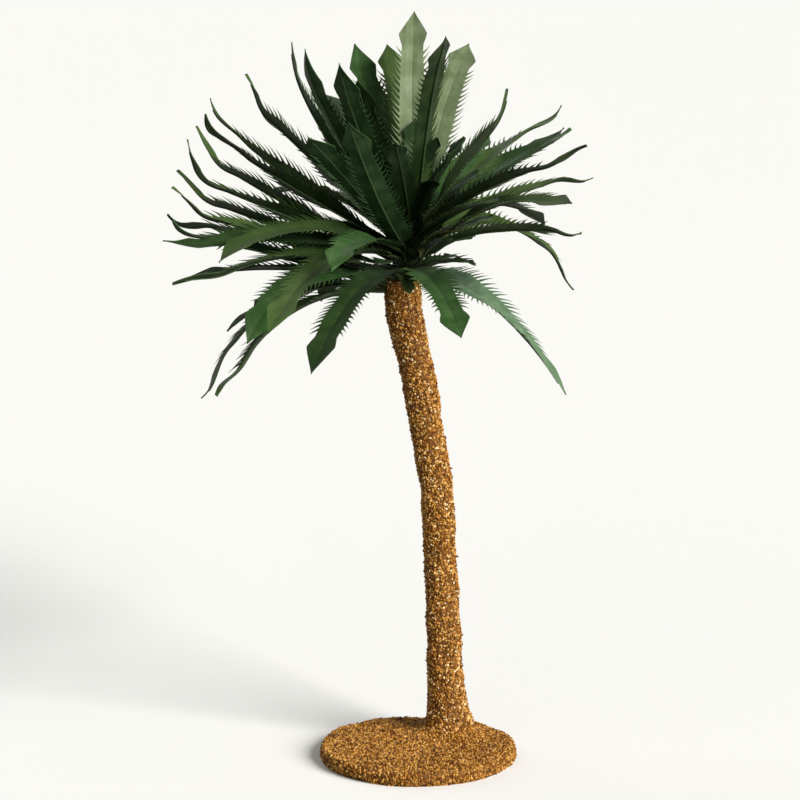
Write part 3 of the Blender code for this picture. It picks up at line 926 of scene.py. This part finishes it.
stand = {"inset": 0.5 * mm, "lump": 0.55 * mm, "lumpScale": 130.0, "lumpsFrom": 1.5 * mm, "topFrom": 2.5 * mm,
         "flatBelow": 0.05 * mm, "least": 0.3 * mm,
         "mound": 1.5 * mm, "moundAt": 6.2 * mm, "moundWidth": 2.6 * mm,
         "coat": {"Gap": 0.54 * mm, "Least Size": 0.31 * mm, "Most Size": 0.57 * mm, "Flatness": 0.6,
                  "Roughen": 0.56 * mm, "Lowest Facing": -0.9, "Floor": 0.0, "Palest Tone": 0.82, "Seed": 21}}


def standShape(place, normal):
    lump = noise.noise(place * stand["lumpScale"]) * stand["lump"] * min(1.0, place.z / stand["lumpsFrom"])
    moved = place + normal * (lump - stand["inset"])
    if place.z > stand["topFrom"]:                   # grains heaped round the trunk's foot
        away = math.hypot(place.x - trunkFoot.x, place.y - trunkFoot.y)
        away = (away - stand["moundAt"]) / stand["moundWidth"]
        moved.z += stand["mound"] * math.exp(-away * away)
    moved.z = 0.0 if place.z < stand["flatBelow"] else max(moved.z, stand["least"])
    return moved


standCore = gluedCore("standCore", "stand", 2, standShape)
standGrains = bakedFrom(standCore, "standGrains", coatTree, stand["coat"])
settle(standCore, ["stand"])
settle(standGrains, [])


# floor, light and camera

def floorMaterial():
    material = bpy.data.materials.new("pale_floor")
    material.use_nodes = True
    tree = material.node_tree
    shader = tree.nodes["Principled BSDF"]
    shader.inputs["Roughness"].default_value = 0.95
    shader.inputs["Specular IOR Level"].default_value = 0.1
    seenDirectly = addNode(tree, "ShaderNodeLightPath").outputs["Is Camera Ray"]
    # pale to look at, but throwing only a little light back up at the fronds
    tree.links.new(mixColour(tree, seenDirectly, (0.42, 0.42, 0.41, 1), (0.97, 0.97, 0.965, 1)),
                   shader.inputs["Base Color"])
    return material


def addFloor(half):
    mesh = bpy.data.meshes.new("floor")
    corners = [(-half, -half, 0), (half, -half, 0), (half, half, 0), (-half, half, 0)]
    mesh.from_pydata(corners, [], [(0, 1, 2, 3)])
    mesh.materials.append(floorMaterial())
    putInScene("floor", mesh)


def addSun(name, fromPlace, strength, softness, colour):
    lamp = bpy.data.lights.new(name, "SUN")
    lamp.energy, lamp.angle, lamp.color = strength, math.radians(softness), colour
    sun = putInScene(name, lamp)
    sun.rotation_euler = Vector(fromPlace).to_track_quat("Z", "Y").to_euler()


addFloor(9)
addSun("keyLight", (0.65, -0.59, 0.43), 5.2, 34, (1.0, 0.985, 0.96))
addSun("fillLight", (-0.35, -0.8, 0.5), 0.3, 60, (1.0, 1.0, 0.93))
addSun("backLight", (-0.55, 0.75, 0.5), 0.6, 60, (1.0, 1.0, 0.97))


def studioWorld():
    # a weak warm light from all round, pale where it is seen directly
    world = bpy.data.worlds.new("studio")
    world.use_nodes = True
    tree = world.node_tree
    around = tree.nodes["Background"]
    around.inputs["Color"].default_value = (0.99, 1.0, 0.90, 1)
    around.inputs["Strength"].default_value = 0.14
    backdrop = addNode(tree, "ShaderNodeBackground", {"Color": (0.93, 0.93, 0.925, 1), "Strength": 1.0})
    choice = addNode(tree, "ShaderNodeMixShader")
    tree.links.new(addNode(tree, "ShaderNodeLightPath").outputs["Is Camera Ray"], choice.inputs[0])
    tree.links.new(around.outputs[0], choice.inputs[1])
    tree.links.new(backdrop.outputs[0], choice.inputs[2])
    tree.links.new(choice.outputs[0], tree.nodes["World Output"].inputs["Surface"])
    return world


bpy.context.scene.world = studioWorld()
bpy.context.scene.view_settings.view_transform = "Standard"

lens = bpy.data.cameras.new("camera")
lens.lens, lens.sensor_width = 156.7, 36.0
camera = putInScene("camera", lens)
camera.location = (-0.0051, -1.0, 0.3095)
camera.rotation_euler = (math.radians(78.67), 0.0, 0.0)
bpy.context.scene.camera = camera
